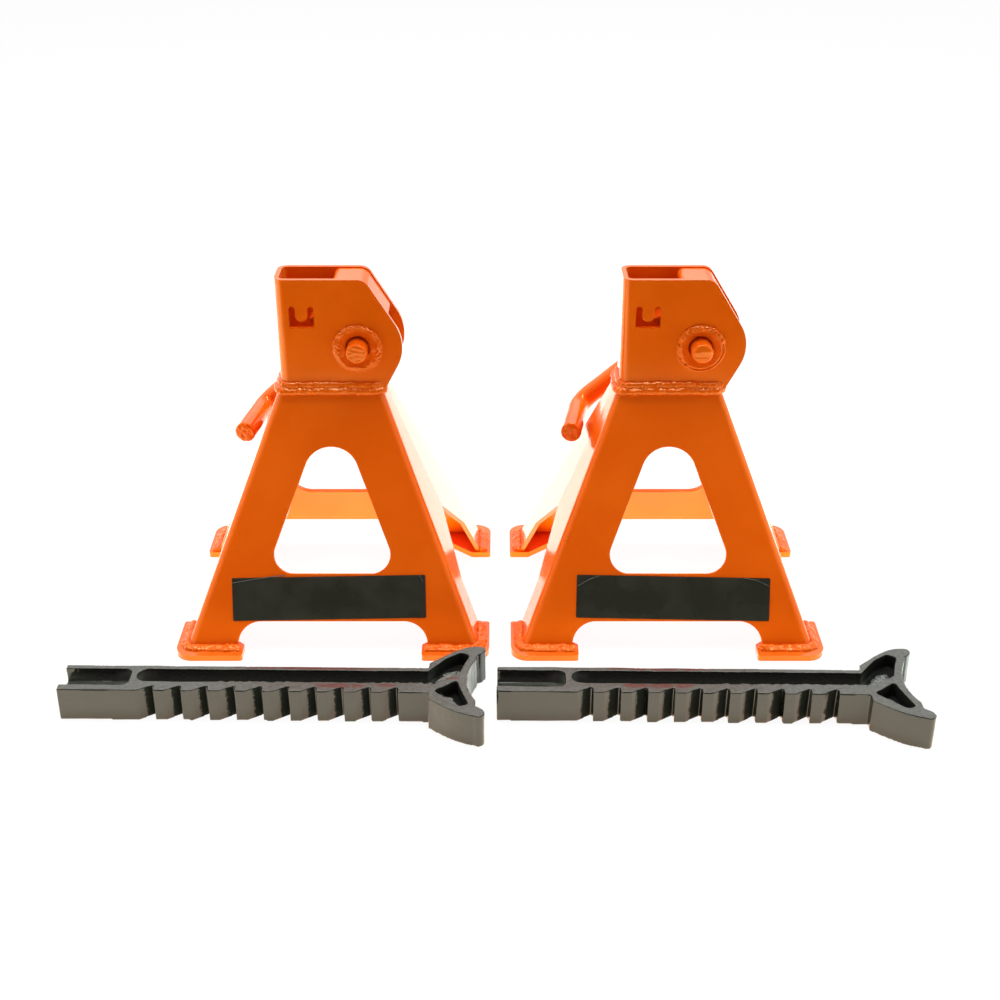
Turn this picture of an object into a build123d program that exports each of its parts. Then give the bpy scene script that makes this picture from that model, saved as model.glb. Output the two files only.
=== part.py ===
from build123d import *
import math
import os

os.makedirs("parts", exist_ok=True)

# ---------------------------------------------------------------- driving dimensions, mm
foot_span_x = 200.0    # over the feet, across
foot_span_y = 174.0    # over the feet, front to back
foot_t = 4.0
foot_arm_x = 43.0
foot_arm_y = 41.0
foot_arm_w = 13.0
foot_corner = 11.0
foot_lip_x = 5.3       # foot plate outside the leg, measured at floor level
foot_lip_y = 7.7

sheet = 3.0            # pressed sheet of the leg frame
frame_h = 149.5        # pressed frame, from the foot plates to the sleeve
neck_r = 2.6           # weld bead round the neck
neck_up = 1.9          # lower bead's middle above the frame's top edge
neck_lip_x = 1.93      # frame top edge outside the sleeve, left
neck_lip_y = 1.45      # and front and rear
leg_corner = 5.2       # outside bend radius along the four slanting corners

window_low = 52.0      # up the slope of the panel from floor level
window_below_neck = 33.4  # along the slope
window_leg_low = 33.05  # leg left beside the window, at its lower and upper edge
window_leg_high = 33.75
window_low_r = 12.3
window_top_flat = 0.4  # straight left between the two upper corner rounds
arch_top = 21.2        # up the slope
arch_leg = 34.1        # leg left beside the arch at floor level
arch_r = 15.0
side_apex = 70.4       # up the slope of the side
side_kink = 34.2
side_leg_low = 27.4    # leg left beside the side opening at floor level
side_leg_kink = 27.8   # and at the kink

bar_t = 21.6           # ratchet bar thickness
bar_w = 26.0           # ratchet bar width over the teeth
bar_len = 221.0        # bottom end to the underside of the saddle
tooth_pitch = 16.15
tooth_count = 10
tooth_depth = 5.4
tooth_ramp = 9.75
tooth_last = 18.25     # last step from the saddle end of the shank
pocket_depth = 9.1     # pocket on each side, the web is what is left
pocket_low = 9.5       # pocket edge on the tooth side
pocket_high = 22.2     # pocket edge on the back side
foot_pocket_end = 41.0 # pocket at the bottom end
rib = 4.0              # rib between the two pockets

bar_side_clear = 0.4   # each side of the bar in the sleeve
bar_edge_clear = 3.15  # in front of and behind the bar in the sleeve
wall = 2.9             # sleeve sheet
sleeve_h = 74.9        # above the frame
sleeve_in_y = bar_t / 2 + bar_side_clear
sleeve_out_y = sleeve_in_y + wall
sleeve_left_x = -31.6
sleeve_corner = 6.5
guide_x = sleeve_left_x + wall + bar_w + 2 * bar_edge_clear
cheek_top_x = 24.0
cheek_nose_x = 50.2
cheek_nose_drop = 42.4 # below the sleeve's top edge
cheek_low_x = 33.2
cheek_nose_r = 27.5
cheek_shoulder_r = 8.5

pivot_x = 18.2
pivot_drop = 44.8      # below the sleeve's top edge
rod_d = 13.5           # one bent rod is both the pivot pin and the handle
running_clear = 0.06   # radial, rod in its bushes
bush_d = 24.0
bush_proud = 1.5
rod_proud = 5.0        # in front of the bush
arm_back = 27.2        # arm's upper bend behind the sleeve
arm_lean = 16.2        # lower bend behind the upper one
arm_drop = 68.1        # lower bend below the pivot
grip_len = 48.5
grip_drop = 0.5
grip_toe_out = 8.0     # grip end further out than the lower bend
grip_out = 11.73       # grip end outside the leg's side face, at its own height
handle_bend_r = 11.0

pawl_w = 16.0
pawl_boss_r = 12.5
pawl_rest_angle = 22.0  # how far the free pawl hangs in past its seat in a notch
pawl_gap = 0.4          # nose to notch

tab_x = -15.6          # stop tab in the front cheek, on the pocket's centre line
tab_w = 7.4
tab_slot = 3.95
tab_top_drop = 17.3    # below the sleeve's top edge
tab_len = 9.6
tab_hole_h = 14.0

# ---------------------------------------------------------------- layout on the floor
stand_y = 48.042
stand_left_x = -101.79
stand_gap = 13.9       # between the feet of the two stands
bar_left_x = -258.34   # bottom end of the left bar
bar_gap = 6.6          # between the left bar's horn and the right bar
bar_back = {"left": 62.7, "right": 64.4}  # bar's tooth edge in front of the front feet
bar_yaw = {"left": -0.85, "right": -0.97}
sticker_shift = {"left": -2.1, "right": 3.4}
sticker_tilt = {"left": 1.0, "right": -1.1}
sticker_w = 123.3
sticker_h = 27.6
sticker_mid = 36.4     # up the slope of the front panel
sticker_t = 0.3

# ---------------------------------------------------------------- what follows from them
frame_base_z = foot_t
frame_top_z = frame_base_z + frame_h
sleeve_top_z = frame_top_z + sleeve_h
leg_x0 = foot_span_x / 2 - foot_lip_x
leg_y0 = foot_span_y / 2 - foot_lip_y
leg_run_x = (leg_x0 + sleeve_left_x - neck_lip_x) / frame_top_z
leg_run_y = (leg_y0 - sleeve_out_y - neck_lip_y) / frame_top_z
cos_x = 1 / math.hypot(1, leg_run_x)
cos_y = 1 / math.hypot(1, leg_run_y)
cheek_top_right = (cheek_top_x, sleeve_top_z)
cheek_nose = (cheek_nose_x, sleeve_top_z - cheek_nose_drop)
cheek_low_right = (cheek_low_x, frame_top_z)
pivot_z = sleeve_top_z - pivot_drop
rod_front_y = -(sleeve_out_y + bush_proud + rod_proud)
tab_top_z = sleeve_top_z - tab_top_drop
tab_hole_z = tab_top_z - tab_hole_h
tab_end_z = tab_top_z - tab_len
horn_reach = 33.8      # saddle's horn beyond the shank
stand_x = {"left": stand_left_x, "right": stand_left_x + foot_span_x + stand_gap}
bar_front_y = stand_y - foot_span_y / 2
bar_pos = {
    "left": (bar_left_x, bar_front_y - bar_back["left"]),
    "right": (bar_left_x + bar_len + horn_reach + bar_gap, bar_front_y - bar_back["right"]),
}


def leg_half_x(z):
    return leg_x0 - leg_run_x * z


def leg_half_y(z):
    return leg_y0 - leg_run_y * z


def pyramid(grow, bend_r, z_low, z_high):
    """Solid pyramid inside the frame faces, moved outward by grow, its slanting edges rounded."""

    def tapered(plane, half, cos):
        low, high = half(z_low) + grow / cos, half(z_high) + grow / cos
        outline = Polyline((-low, z_low), (low, z_low), (high, z_high), (-high, z_high), close=True)
        return extrude(plane * make_face(outline), amount=foot_span_x, both=True)

    solid = tapered(Plane.XZ, leg_half_x, cos_x) & tapered(Plane.YZ, leg_half_y, cos_y)
    slanting = [e for e in solid.edges() if abs(e.tangent_at(0.5).Z) > 0.5]
    return fillet(slanting, bend_r)


def bead(w, d, corner, z_mid, sections):
    """Flat-sided weld bead round a w by d outline; sections are (height, growth) pairs."""
    solid = None
    for (low, grow), (high, next_grow) in zip(sections, sections[1:]):
        ring = Rectangle(w + 2 * grow, d + 2 * grow)
        ring = chamfer(ring.vertices(), (corner + grow) * (2 - math.sqrt(2)))
        taper = math.degrees(math.atan2(grow - next_grow, high - low))
        layer = extrude(Pos(0, 0, z_mid + low) * ring, amount=high - low, taper=taper)
        solid = layer if solid is None else solid + layer
    return solid


def face_of(points, fillets):
    """Closed outline; fillets maps a corner's index to its radius."""
    face = make_face(Polyline(*points, close=True))
    for index, radius in fillets.items():
        x, y = points[index]
        corner = face.vertices().sort_by_distance((x, y, 0))[0]
        face = fillet(corner, radius)
    return face


def front_panel_plane(side):
    """Plane on the outer face of the front (side -1) or rear (+1) panel, y up the slope."""
    return Plane(
        origin=(0, side * leg_y0, 0),
        x_dir=(-side, 0, 0),
        z_dir=(0, side * cos_y, leg_run_y * cos_y),
    )


def side_panel_plane(side):
    return Plane(
        origin=(side * leg_x0, 0, 0),
        x_dir=(0, side, 0),
        z_dir=(side * cos_x, 0, leg_run_x * cos_x),
    )


# ---------------------------------------------------------------- leg frame
def frame_shell():
    shell = pyramid(0, leg_corner, frame_base_z, frame_top_z)
    shell -= pyramid(-sheet, leg_corner - sheet, frame_base_z - 6, frame_top_z + 6)
    low = leg_half_x(window_low * cos_y) - window_leg_low
    window_high = frame_top_z / cos_y - window_below_neck
    high = leg_half_x(window_high * cos_y) - window_leg_high
    turn = math.pi / 2 - math.atan2(low - high, window_high - window_low)
    high_r = (high - window_top_flat / 2) / math.tan(turn / 2)
    window = face_of(
        [(-low, window_low), (low, window_low), (high, window_high), (-high, window_high)],
        {0: window_low_r, 1: window_low_r, 2: high_r, 3: high_r},
    )
    half = leg_x0 - arch_leg
    arch = face_of(
        [(-half, -8), (half, -8), (half, arch_top), (-half, arch_top)], {2: arch_r, 3: arch_r}
    )
    low = leg_y0 - side_leg_low
    kink = leg_half_y(side_kink * cos_x) - side_leg_kink
    gap = make_face(
        Polyline(
            (0, side_apex), (-kink, side_kink), (-low, -7.5), (low, -7.5), (kink, side_kink),
            close=True,
        )
    )
    for side in (-1, 1):
        shell -= front_panel_plane(side) * extrude(window, amount=9, both=True)
        shell -= front_panel_plane(side) * extrude(arch, amount=9, both=True)
        shell -= side_panel_plane(side) * extrude(gap, amount=9, both=True)
    return shell


def half_of(shape, side):
    """Keep the part in front of (side -1) or behind (+1) the middle plane."""
    keep = Pos(0, side * foot_span_y, frame_top_z / 2) * Box(
        2 * foot_span_x, 2 * foot_span_y, 2 * frame_top_z
    )
    return shape & keep


def seam_weld(side):
    """Bead up the middle of one side, where the front and rear pressings meet."""
    s_low = side_apex + 2.6
    s_high = frame_top_z / cos_x - 6
    run = Pos(0, (s_low + s_high) / 2, -1.9) * Rot(90, 0, 0) * Cylinder(3.3, s_high - s_low)
    return side_panel_plane(side) * run - pyramid(0, leg_corner, 10, frame_top_z + 20)


def foot(sx, sy):
    """Corner foot plate, its outer corner at (sx, sy)."""
    outline = face_of(
        [
            (0, 0),
            (foot_arm_x, 0),
            (foot_arm_x, foot_arm_w),
            (foot_arm_w, foot_arm_y),
            (0, foot_arm_y),
        ],
        {0: foot_corner, 1: 2.0, 2: 2.5, 3: 2.5, 4: 2.0},
    )
    plate = Pos(-foot_span_x / 2, -foot_span_y / 2, 0) * extrude(outline, amount=foot_t)
    if sx > 0:
        plate = mirror(plate, about=Plane.YZ)
    if sy > 0:
        plate = mirror(plate, about=Plane.XZ)
    return plate


def foot_weld(sx, sy):
    """Fillet weld round the outside of one leg, on its foot plate."""
    weld = bead(
        2 * leg_half_x(frame_base_z),
        2 * leg_half_y(frame_base_z),
        leg_corner,
        frame_base_z,
        ((0, 5.6), (1.5, 5.0), (4.2, -0.9)),
    )
    weld -= pyramid(0, leg_corner, frame_base_z - 3, frame_base_z + 9)
    reach_x = foot_span_x / 2 - foot_arm_x + 1.5
    reach_y = foot_span_y / 2 - foot_arm_y + 2.0
    corner = Pos(sx * (reach_x + foot_span_x / 2), sy * (reach_y + foot_span_y / 2), 0) * Box(
        foot_span_x, foot_span_y, 40
    )
    return weld & corner


def neck_weld(sleeve_fill):
    """Double bead round the joint between sleeve and frame."""
    right = cheek_low_right[0] + 1.6
    upper_w = right - sleeve_left_x + 0.5
    upper_x = (right + sleeve_left_x - 0.5) / 2
    upper = bead(upper_w, 2 * sleeve_out_y + 0.4, sleeve_corner, frame_top_z + neck_up + 3.9, neck_profile(neck_r - 0.2))
    lower = bead(
        2 * leg_half_x(frame_top_z) + 0.4,
        2 * leg_half_y(frame_top_z) + 0.4,
        leg_corner,
        frame_top_z + neck_up,
        neck_profile(neck_r),
    )
    weld = Pos(upper_x, 0, 0) * upper + lower
    weld -= sleeve_fill
    weld -= pyramid(0, leg_corner, frame_top_z - 4 * neck_r, frame_top_z)
    mouth = Box(cheek_nose_x, 2 * sleeve_in_y, 6 * neck_r)
    weld -= Pos(cheek_nose_x, 0, frame_top_z + 3 * neck_r) * mouth
    return weld


def neck_profile(bead_r):
    angles = [math.radians(a) for a in (-67.5, -22.5, 22.5, 67.5)]
    return [(bead_r * math.sin(a), bead_r * math.cos(a)) for a in angles]


# ---------------------------------------------------------------- sleeve and pivot
def along_y(radius, y_low, y_high):
    """Cylinder on the pivot axis."""
    shape = Rot(90, 0, 0) * Cylinder(radius, y_high - y_low)
    return Pos(pivot_x, (y_low + y_high) / 2, pivot_z) * shape


def cheek_outline(grow_x=0.0):
    return face_of(
        [
            (sleeve_left_x - grow_x, frame_top_z),
            (sleeve_left_x - grow_x, sleeve_top_z),
            cheek_top_right,
            cheek_nose,
            cheek_low_right,
        ],
        {2: cheek_shoulder_r, 3: cheek_nose_r},
    )


def tab_slots():
    """U-shaped slot that leaves the stop tab hanging in the front cheek."""
    hole_w = tab_w + 2 * tab_slot
    hole_h = tab_top_z - tab_hole_z
    x_left = tab_x - hole_w / 2
    x_right = tab_x + hole_w / 2
    hole = face_of(
        [
            (x_left, tab_hole_z),
            (x_right, tab_hole_z),
            (x_right, tab_top_z),
            (x_right - tab_slot, tab_top_z),
            (x_right - tab_slot, tab_top_z - hole_h / 2),
            (x_left + tab_slot, tab_top_z - hole_h / 2),
            (x_left + tab_slot, tab_top_z),
            (x_left, tab_top_z),
        ],
        {2: 1.9, 3: 1.9, 6: 1.9, 7: 1.9},
    )
    tab_r = tab_w / 2
    tab = Pos(tab_x, tab_end_z + tab_r) * Circle(tab_r - 0.001)
    tab += Pos(tab_x, (tab_end_z + tab_r + tab_top_z) / 2) * Rectangle(
        tab_w, tab_top_z - tab_end_z - tab_r
    )
    return hole - tab


def sleeve_blank(filled):
    """Channel with rounded back corners, open to the right."""
    right = cheek_nose[0] + 5
    outer = face_of(
        [
            (sleeve_left_x, -sleeve_out_y),
            (right, -sleeve_out_y),
            (right, sleeve_out_y),
            (sleeve_left_x, sleeve_out_y),
        ],
        {0: sleeve_corner, 3: sleeve_corner},
    )
    if not filled:
        inner = face_of(
            [
                (sleeve_left_x + wall, -sleeve_in_y),
                (right + 5, -sleeve_in_y),
                (right + 5, sleeve_in_y),
                (sleeve_left_x + wall, sleeve_in_y),
            ],
            {0: sleeve_corner - wall, 3: sleeve_corner - wall},
        )
        outer -= inner
    body = Pos(0, 0, frame_top_z) * extrude(outer, amount=sleeve_top_z - frame_top_z)
    return body & extrude(Plane.XZ * cheek_outline(1.0), amount=30, both=True)


def sleeve():
    body = sleeve_blank(False)
    body -= extrude(Plane.XZ * tab_slots(), amount=30)
    return body - along_y(bush_d / 2, -40, 40)


def bush(side):
    """Turned collar that carries the rod in one cheek."""
    y_in = sleeve_in_y - 0.6
    y_out = sleeve_out_y + bush_proud
    y_low, y_high = sorted((side * y_in, side * y_out))
    ring = along_y(bush_d / 2, y_low, y_high) - along_y(rod_d / 2 + running_clear, -40, 40)
    return ring


def bush_weld(side):
    """Raised bead round one bush, on the cheek's outer face, in flats."""
    side_count = 28
    to_corner = 1 / math.cos(math.pi / side_count)
    ring = None
    for low, high, grow, taper in ((0, 1.2, 4.6, 26.6), (1.2, 1.9, 4.0, 63.4)):
        outline = RegularPolygon((bush_d / 2 + grow) * to_corner, side_count)
        layer = extrude(Pos(0, 0, low) * outline, amount=high - low, taper=taper)
        ring = layer if ring is None else ring + layer
    ring -= extrude(RegularPolygon(bush_d / 2 * to_corner, side_count), amount=5)
    ring = Rot(90 if side < 0 else -90, 0, 0) * ring
    return Pos(pivot_x, side * sleeve_out_y, pivot_z) * ring


def guide_strip():
    """Bent strip between the cheeks: guide wall, top cover and sloping cover."""
    inset = 0.8
    t = 2.6
    top = sleeve_top_z - inset
    dx = cheek_nose[0] - cheek_top_right[0]
    dz = cheek_nose[1] - cheek_top_right[1]
    length = math.hypot(dx, dz)
    nx, nz = -dz / length, dx / length

    def slope(z, depth):
        x = cheek_top_right[0] + (z - cheek_top_right[1]) * dx / dz
        return x - depth / nx

    low_z = top - 10.1
    end_z = top - 23.0
    end_x = slope(end_z, inset)
    profile = face_of(
        [
            (guide_x, low_z),
            (guide_x, top),
            (slope(top, inset), top),
            (end_x, end_z),
            (end_x - t * nx, end_z - t * nz),
            (slope(top - t, inset + t), top - t),
            (guide_x + t, top - t),
            (guide_x + t, low_z),
        ],
        {1: 4.0, 2: cheek_shoulder_r - inset, 5: cheek_shoulder_r - inset - t, 6: 1.4},
    )
    return extrude(Plane.XZ * profile, amount=sleeve_in_y, both=True)


def pawl():
    """Pawl in its rest position; the nose face lies square under a tooth when engaged."""
    face_z = 27.4
    tip_x = -(pivot_x - (sleeve_left_x + wall + bar_edge_clear + bar_w - tooth_depth)) + pawl_gap
    slope = tooth_depth / tooth_ramp
    nose = face_of(
        [
            (tip_x, face_z),
            (-12.6, face_z),
            (0.0, 11.5),
            (-9.5, -7.5),
            (tip_x + 10.4 * slope, face_z - 10.4),
        ],
        {0: 1.6, 1: 3.5, 4: 2.0},
    )
    shape = nose + Circle(pawl_boss_r)
    shape -= Circle(rod_d / 2)
    body = extrude(Plane.XZ * shape, amount=pawl_w / 2, both=True)
    return Pos(pivot_x, 0, pivot_z) * Rot(0, -pawl_rest_angle, 0) * body


def bent_rod(points, bend_r, rod_r):
    """Round rod with straight runs and tangent bends of one radius."""
    points = [Vector(*p) for p in points]
    rod = None
    start = points[0]
    for before, corner, after in zip(points, points[1:], points[2:] + [None]):
        ahead = (corner - before).normalized()
        if after is None:
            run = extrude(Plane(origin=start, z_dir=ahead) * Circle(rod_r), amount=(corner - start).length)
            return rod + run
        leave = (after - corner).normalized()
        turn = ahead.get_angle(leave)
        reach = bend_r * math.tan(math.radians(turn) / 2)
        enter = corner - ahead * reach
        axis_dir = ahead.cross(leave).normalized()
        centre = enter + axis_dir.cross(ahead) * bend_r
        section = Plane(origin=enter, z_dir=ahead) * Circle(rod_r)
        run = extrude(Plane(origin=start, z_dir=ahead) * Circle(rod_r), amount=(enter - start).length)
        bend = revolve(section, Axis(centre, axis_dir), turn)
        rod = run + bend if rod is None else rod + run + bend
        start = corner + leave * reach
    return rod


def handle_rod():
    """Pivot pin, rear arm and forward grip in one bent rod."""
    front_end = (pivot_x, rod_front_y, pivot_z)
    upper_y = sleeve_out_y + arm_back
    lower_y = upper_y + arm_lean
    lower_z = pivot_z - arm_drop
    grip_x = -(leg_half_x(lower_z - grip_drop) + grip_out)
    lower_bend = (grip_x + grip_toe_out, lower_y, lower_z)
    grip_end = (grip_x, lower_y - grip_len, lower_z - grip_drop)
    rod = bent_rod(
        [front_end, (pivot_x, upper_y, pivot_z), lower_bend, grip_end], handle_bend_r, rod_d / 2
    )
    tips = [
        rod.edges().filter_by(GeomType.CIRCLE).sort_by_distance(end)[0]
        for end in (front_end, grip_end)
    ]
    return chamfer(tips, 0.8)


def sticker(name):
    """Bare label on the front panel, just under the window."""
    label = RectangleRounded(sticker_w, sticker_h, 0.8)
    label = Pos(sticker_shift[name], sticker_mid, 0) * Rot(0, 0, sticker_tilt[name]) * label
    return front_panel_plane(-1) * extrude(label, amount=sticker_t)


# ---------------------------------------------------------------- ratchet bar
def bar_outline():
    """Side outline: x along the bar from its bottom end, y from the tooth tips to the back."""
    lower = [(0, 0)]
    for i in range(tooth_count):
        step = bar_len - tooth_last - (tooth_count - 1 - i) * tooth_pitch
        lower += [(step - tooth_ramp, 0), (step, tooth_depth), (step, 0)]
    lower += [(bar_len, 0), (bar_len, -6.0)]
    def past(x, y):
        return (bar_len + x, y)

    near_tip = past(horn_reach, -20.6)
    far_tip = past(horn_reach - 0.9, 45.6)
    near_lip = past(horn_reach - 2.6, -15.4)
    far_lip = past(horn_reach - 3.6, 41.8)
    edges = [
        Polyline(*lower),
        Spline(past(0, -6.0), past(10.5, -14.6), past(20.0, -20.4), past(27.5, -22.9)),
        ThreePointArc(past(27.5, -22.9), past(horn_reach - 1.2, -22.9), near_tip),
        ThreePointArc(near_tip, past(horn_reach - 0.7, -17.6), near_lip),
        Polyline(near_lip, past(28.2, -13.0), past(28.1, -7.0)),
        Spline(past(28.1, -7.0), past(24.0, 2.6), past(22.2, 15.0), past(24.2, 27.6), past(27.6, 37.0)),
        Polyline(past(27.6, 37.0), past(28.0, 40.8), far_lip, far_tip),
        ThreePointArc(far_tip, past(horn_reach - 1.6, 48.8), past(28.6, 50.2)),
        Spline(past(28.6, 50.2), past(20.5, 48.4), past(10.6, 41.8), past(-1.0, 31.2)),
        Polyline(past(-1.0, 31.2), past(-1.0, bar_w), (0, bar_w), (0, 0)),
    ]
    return make_face(Wire([e for part in edges for e in part.edges()]))


def bar_pockets():
    """Weight-saving pockets of one side, cut to leave the middle web."""
    foot_pocket = face_of(
        [
            (-5, 5.5),
            (foot_pocket_end, 5.5),
            (foot_pocket_end, pocket_high),
            (-5, pocket_high),
        ],
        {1: 4.0, 2: 4.0},
    )
    start = foot_pocket_end + rib
    long_pocket = face_of(
        [
            (start, pocket_low),
            (bar_len - 4.0, pocket_low),
            (bar_len + 1.5, 7.8),
            (bar_len + 17.4, 19.8),
            (bar_len + 20.4, 31.5),
            (bar_len + 23.4, 40.0),
            (bar_len + 18.0, 43.4),
            (bar_len + 9.4, 36.8),
            (bar_len - 1.5, pocket_high),
            (start, pocket_high),
        ],
        {0: 6.2, 9: 6.2, 2: 1.6, 3: 3.0, 5: 3.0, 6: 3.4, 7: 8.0},
    )
    cradle_pocket = face_of(
        [
            (bar_len + 3.4, 1.8),
            (bar_len + 16.4, 13.2),
            (bar_len + 18.6, 4.5),
            (bar_len + 24.0, -11.6),
            (bar_len + 18.6, -13.6),
        ],
        {0: 1.4, 1: 1.6, 3: 1.6, 4: 3.0},
    )
    return [foot_pocket, long_pocket, cradle_pocket]


def ratchet_bar(name):
    body = extrude(bar_outline(), amount=bar_t)
    for pocket in bar_pockets():
        body -= extrude(pocket, amount=pocket_depth)
        body -= Pos(0, 0, bar_t - pocket_depth) * extrude(pocket, amount=pocket_depth)
    x, y = bar_pos[name]
    return Pos(x, y, 0) * Rot(0, 0, bar_yaw[name]) * body


# ---------------------------------------------------------------- parts
parts = {}
shell = frame_shell()
sleeve_fill = sleeve_blank(True)
stand = {
    "frame_front": half_of(shell, -1),
    "frame_rear": half_of(shell, 1),
    "seam_weld_l": seam_weld(-1),
    "seam_weld_r": seam_weld(1),
    "sleeve": sleeve(),
    "guide_strip": guide_strip(),
    "neck_weld": neck_weld(sleeve_fill),
    "bush_front": bush(-1),
    "bush_rear": bush(1),
    "bush_weld_front": bush_weld(-1),
    "bush_weld_rear": bush_weld(1),
    "pawl": pawl(),
    "handle": handle_rod(),
}
for corner, (sx, sy) in {"fl": (-1, -1), "fr": (1, -1), "rl": (-1, 1), "rr": (1, 1)}.items():
    stand["foot_" + corner] = foot(sx, sy)
    stand["foot_weld_" + corner] = foot_weld(sx, sy)

for name in ("left", "right"):
    place = Pos(stand_x[name], stand_y, 0)
    for piece, shape in stand.items():
        parts[name + "_" + piece] = place * shape
    parts[name + "_label"] = place * sticker(name)
    parts[name + "_ratchet_bar"] = ratchet_bar(name)

for node, shape in parts.items():
    solids = shape.solids()
    if len(solids) != 1:
        print(node, "has", len(solids), "solids")
    export_step(solids[0] if len(solids) == 1 else shape, "parts/" + node + ".step")

box = Compound(children=[s for shape in parts.values() for s in shape.solids()]).bounding_box()
print("nodes", len(parts), "box", box.min, box.max)
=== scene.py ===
import math
import random

import bmesh
import bpy
from mathutils import Matrix, Vector, noise


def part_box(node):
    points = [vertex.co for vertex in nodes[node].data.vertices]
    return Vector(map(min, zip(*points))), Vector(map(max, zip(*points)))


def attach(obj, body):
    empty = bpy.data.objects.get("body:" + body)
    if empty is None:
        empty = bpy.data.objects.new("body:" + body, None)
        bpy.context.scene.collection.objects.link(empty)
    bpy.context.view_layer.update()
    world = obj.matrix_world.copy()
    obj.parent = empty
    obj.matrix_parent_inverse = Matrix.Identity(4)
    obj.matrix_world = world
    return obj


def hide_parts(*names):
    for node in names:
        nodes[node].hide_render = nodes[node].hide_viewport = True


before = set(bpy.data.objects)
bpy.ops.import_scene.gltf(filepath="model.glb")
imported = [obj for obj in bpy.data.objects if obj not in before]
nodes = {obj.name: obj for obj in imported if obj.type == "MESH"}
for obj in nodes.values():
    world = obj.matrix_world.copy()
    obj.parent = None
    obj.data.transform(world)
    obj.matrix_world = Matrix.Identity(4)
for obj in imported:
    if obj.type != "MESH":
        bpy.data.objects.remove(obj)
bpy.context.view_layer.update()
mm = 0.001
mergeGap = 0.00001                         # points nearer to each other than this are one
sides = ("left", "right")
seeds = {"welds": 40, "handles": 3.1, "bars": 80}
print("frame loaded:", len(nodes), "solids")

# where each stand's own middle is on the floor
standCentre = {}
for side in sides:
    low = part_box(side + "_foot_fl")[0]
    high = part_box(side + "_foot_rr")[1]
    standCentre[side] = Vector(((low.x + high.x) / 2, (low.y + high.y) / 2, 0))


class Val:
    # wraps a socket so that shader maths can be written as an expression
    def __init__(self, maker, socket):
        self.maker = maker
        self.socket = socket

    def calc(self, operation, first, second):
        return self.maker.add("Math", {"operation": operation}, {0: first, 1: second})

    def __add__(self, other):
        return self.calc("ADD", self, other)

    def __radd__(self, other):
        return self.calc("ADD", other, self)

    def __sub__(self, other):
        return self.calc("SUBTRACT", self, other)

    def __rsub__(self, other):
        return self.calc("SUBTRACT", other, self)

    def __mul__(self, other):
        return self.calc("MULTIPLY", self, other)

    def __rmul__(self, other):
        return self.calc("MULTIPLY", other, self)

    def __truediv__(self, other):
        return self.calc("DIVIDE", self, other)

    def __rtruediv__(self, other):
        return self.calc("DIVIDE", other, self)

    def __pow__(self, other):
        return self.calc("POWER", self, other)

    def __rpow__(self, other):
        return self.calc("POWER", other, self)

    def flipped(self):
        return 1 - self

    def most(self, other):
        return self.calc("MAXIMUM", self, other)

    def step(self, start, end):
        # 0 up to start and 1 from end on, or falling where end is the lower of the two
        rising = start < end
        return self.maker.add("MapRange", {"interpolation_type": "SMOOTHSTEP"}, {
            "Value": self,
            "From Min": min(start, end),
            "From Max": max(start, end),
            "To Min": 0 if rising else 1,
            "To Max": 1 if rising else 0,
        })


class NodeMaker:
    # adds nodes to one tree
    def __init__(self, tree):
        self.tree = tree
        tree.nodes.clear()

    def add(self, kind, settings=None, sockets=None, out=0):
        node = self.tree.nodes.new("ShaderNode" + kind)
        for name, value in (settings or {}).items():
            setattr(node, name, value)
        for name, value in (sockets or {}).items():
            if isinstance(value, Val):
                self.tree.links.new(value.socket, node.inputs[name])
            else:
                node.inputs[name].default_value = value
        return Val(self, node.outputs[out]) if len(node.outputs) else None

    def xyz(self, vector):
        parts = self.add("SeparateXYZ", sockets={"Vector": vector})
        return [Val(self, output) for output in parts.socket.node.outputs]

    def noise(self, place, scale, detail=2.0, rough=0.5, warp=0.0):
        return self.add("TexNoise", sockets={
            "Vector": place, "Scale": scale, "Detail": detail, "Roughness": rough,
            "Distortion": warp,
        })

    def blend(self, mask, first, second):
        # one colour where mask is 0, the other where it is 1
        return self.add("Mix", {"data_type": "RGBA"}, {0: mask, 6: first, 7: second}, out=2)

    def bump(self, strength, depth, height, normal=None):
        sockets = {"Strength": strength, "Distance": depth, "Height": height}
        if normal:
            sockets["Normal"] = normal
        return self.add("Bump", sockets=sockets)


def newMaterial(name):
    material = bpy.data.materials.new(name)
    material.use_nodes = True
    maker = NodeMaker(material.node_tree)
    maker.place = maker.add("TexCoord", out=3)
    return material, maker


def finishMaterial(maker, colour, rough, normal, fixed):
    sockets = {"Base Color": colour, "Roughness": rough, "Normal": normal}
    sockets.update(fixed)
    shader = maker.add("BsdfPrincipled", sockets=sockets)
    maker.add("OutputMaterial", sockets={"Surface": shader})


def rgb(red, green, blue):
    return (red, green, blue, 1)


orangePaint = {
    "colour": rgb(0.70, 0.082, 0.0020),
    "thinColour": rgb(0.74, 0.093, 0.0030),
    "deepColour": rgb(0.64, 0.069, 0.0015),
    "cloudScale": 26,                      # soft patches of the thin colour
    "speckScale": 900,                     # fine specks of the deep colour
    "speckShare": 0.35,
    "rough": 0.12,
    "roughSpread": 0.05,
    "peelScale": 520,
    "peelDepth": 0.00004,
    "peelShare": 1.0,
    "waveScale": 70,
    "waveDepth": 0.00022,
    "waveShare": 0.6,
    "lumpScale": 420,                      # only on the weld beads
    "lumpDepth": 0.0006,
    "coatRough": 0.04,
    "glint": rgb(1.0, 0.70, 0.32),         # colour of its plain reflections
    "ior": 1.5,
}


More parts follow.
